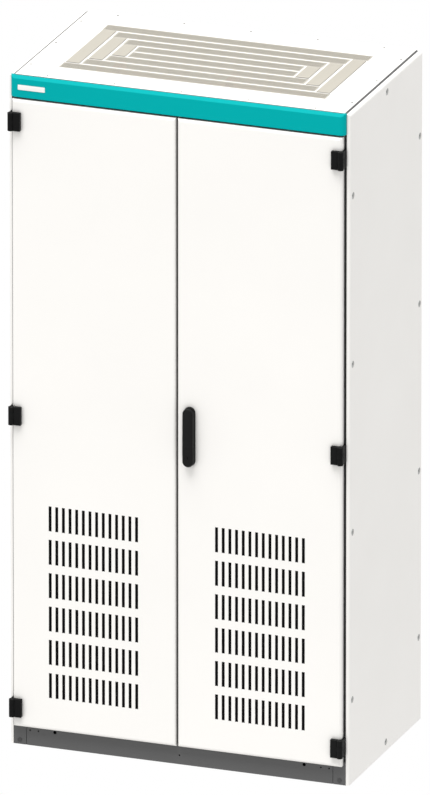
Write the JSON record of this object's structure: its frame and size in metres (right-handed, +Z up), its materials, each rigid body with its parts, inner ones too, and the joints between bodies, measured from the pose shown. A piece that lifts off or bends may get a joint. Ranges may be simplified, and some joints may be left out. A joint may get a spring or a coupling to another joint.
{
  "type": "variable frequency drive cabinet",
  "caption": "Floor-standing cabinet drive with two ventilated doors, swing handle and locking rods, grilled roof, plinth and fitted power and control gear.",
  "frame": {"origin": "on the floor, under the middle of the whole object's box", "axes": "+X to the right seen from the doors, +Y from the doors to the rear, +Z up"},
  "size_m": [1.019, 0.64, 2],
  "materials": {
    "white_paint": "fine textured powder coat",
    "header_paint": "smooth satin paint",
    "plinth_paint": "satin powder coat",
    "zinc_sheet": "galvanised",
    "zinc_parts": "zinc plated",
    "grille_paint": "powder coat",
    "screw_steel": "zinc plated",
    "black_metal": "satin black",
    "handle_black": "fine grain",
    "seal_rubber": "foamed",
    "filter_felt": "nonwoven",
    "duct_plastic": "smooth",
    "copper": "bare copper, lightly oxidised",
    "red_insulator": "moulded",
    "switch_plastic": "moulded",
    "knob_red": "smooth",
    "core_steel": "varnished laminations",
    "coil_wrap": "varnished insulation",
    "drive_paint": "satin",
    "heatsink_alloy": "extruded",
    "fan_plastic": "moulded",
    "control_plastic": "moulded",
    "terminal_plastic": "moulded",
    "breaker_plastic": "moulded",
    "lever_blue": "smooth"
  },
  "bodies": {
    "cabinet": {"plinth_corners": "plinth_paint", "plinth_covers": "plinth_paint", "plinth_side_rails": "plinth_paint", "frame_posts": "zinc_sheet", "centre_post": "zinc_sheet", "frame_beams": "zinc_sheet", "side_panel_left": "white_paint", "side_panel_right": "white_paint", "rear_panel": "white_paint", "panel_fasteners": "screw_steel", "roof_plate": "white_paint", "roof_grilles": "grille_paint", "cover_screws": "screw_steel", "header": "header_paint", "hinge_bases": "black_metal", "hinge_pins": "zinc_parts", "rod_keepers": "zinc_parts", "gland_plate": "zinc_sheet", "cable_rail": "zinc_sheet", "mounting_plate": "zinc_sheet", "din_rails": "zinc_parts", "wiring_ducts": "duct_plastic", "busbars": "copper", "busbar_supports": "red_insulator", "main_switch": "switch_plastic", "fuse_holders": "switch_plastic", "line_contactor": "control_plastic", "reactor_core": "core_steel", "reactor_coils": "coil_wrap", "drive_housing": "drive_paint", "drive_heatsink": "heatsink_alloy", "fan_frames": "fan_plastic", "control_unit": "control_plastic", "power_supply": "drive_paint", "terminal_blocks": "terminal_plastic", "breaker_bodies": "breaker_plastic"},
    "left_door": {"door_left": "white_paint", "door_seal_left": "seal_rubber", "hinge_leaves_left": "black_metal", "filter_mat_left": "filter_felt", "bolt_guides": "zinc_parts"},
    "right_door": {"door_right": "white_paint", "door_seal_right": "seal_rubber", "hinge_leaves_right": "black_metal", "filter_mat_right": "filter_felt", "rod_guides": "zinc_parts", "lock_case": "zinc_parts", "handle_base": "handle_black"},
    "upper_bolt": {"bolt_upper": "zinc_parts"},
    "lower_bolt": {"bolt_lower": "zinc_parts"},
    "handle_hub": {"handle_spindle": "zinc_parts"},
    "handle_lever": {"handle_lever": "handle_black"},
    "lock_cylinder": {"lock_cylinder": "zinc_parts"},
    "upper_rod": {"lock_rod_upper": "zinc_parts"},
    "lower_rod": {"lock_rod_lower": "zinc_parts"},
    "switch_knob": {"switch_knob": "knob_red"},
    "fan_rotor_left": {"fan_rotor_left": "fan_plastic"},
    "fan_rotor_right": {"fan_rotor_right": "fan_plastic"},
    "breaker_lever_left": {"breaker_lever_left": "lever_blue"},
    "breaker_lever_right": {"breaker_lever_right": "lever_blue"}
  },
  "joints": [
    {"name": "left_door_swing", "type": "hinge", "parent": "cabinet", "child": "left_door", "pos_m": [-0.493, -0.304, 1], "axis": [0, 0, -1], "range_deg": [0, 120]},
    {"name": "right_door_swing", "type": "hinge", "parent": "cabinet", "child": "right_door", "pos_m": [0.493, -0.304, 1], "axis": [0, 0, 1], "range_deg": [0, 120]},
    {"name": "handle_turn", "type": "hinge", "parent": "right_door", "child": "handle_hub", "pos_m": [0.0405, -0.309, 1.0655], "axis": [0, -1, 0], "range_deg": [0, 90]},
    {"name": "handle_lift", "type": "hinge", "parent": "handle_hub", "child": "handle_lever", "pos_m": [0.0405, -0.309, 1.0655], "axis": [-1, 0, 0], "range_deg": [0, 20]},
    {"name": "lock_cylinder_turn", "type": "hinge", "parent": "right_door", "child": "lock_cylinder", "pos_m": [0.0405, -0.31, 0.936], "axis": [0, -1, 0], "range_deg": [0, 90]},
    {"name": "upper_rod_slide", "type": "slide", "parent": "right_door", "child": "upper_rod", "axis": [0, 0, -1], "range_m": [0, 0.0142]},
    {"name": "lower_rod_slide", "type": "slide", "parent": "right_door", "child": "lower_rod", "axis": [0, 0, 1], "range_m": [0, 0.0142]},
    {"name": "upper_bolt_slide", "type": "slide", "parent": "left_door", "child": "upper_bolt", "axis": [0, 0, -1], "range_m": [0, 0.02]},
    {"name": "lower_bolt_slide", "type": "slide", "parent": "left_door", "child": "lower_bolt", "axis": [0, 0, 1], "range_m": [0, 0.02]},
    {"name": "switch_turn", "type": "hinge", "parent": "cabinet", "child": "switch_knob", "pos_m": [-0.23, 0.13, 1.6], "axis": [0, -1, 0], "range_deg": [0, 90]},
    {"name": "fan_spin_left", "type": "hinge", "parent": "cabinet", "child": "fan_rotor_left", "pos_m": [0.13, 0.097, 1.62], "axis": [0, 0, 1], "continuous": true},
    {"name": "fan_spin_right", "type": "hinge", "parent": "cabinet", "child": "fan_rotor_right", "pos_m": [0.31, 0.097, 1.62], "axis": [0, 0, 1], "continuous": true},
    {"name": "breaker_toggle_left", "type": "hinge", "parent": "cabinet", "child": "breaker_lever_left", "pos_m": [0.178, 0.196, 1.72], "axis": [1, 0, 0], "range_deg": [0, 70]},
    {"name": "breaker_toggle_right", "type": "hinge", "parent": "cabinet", "child": "breaker_lever_right", "pos_m": [0.233, 0.196, 1.72], "axis": [1, 0, 0], "range_deg": [0, 70]}
  ],
  "couplings": [
    {"joint": "upper_rod_slide", "follows": "handle_turn", "m_per_rad": 0.009},
    {"joint": "lower_rod_slide", "follows": "handle_turn", "m_per_rad": 0.009}
  ]
}
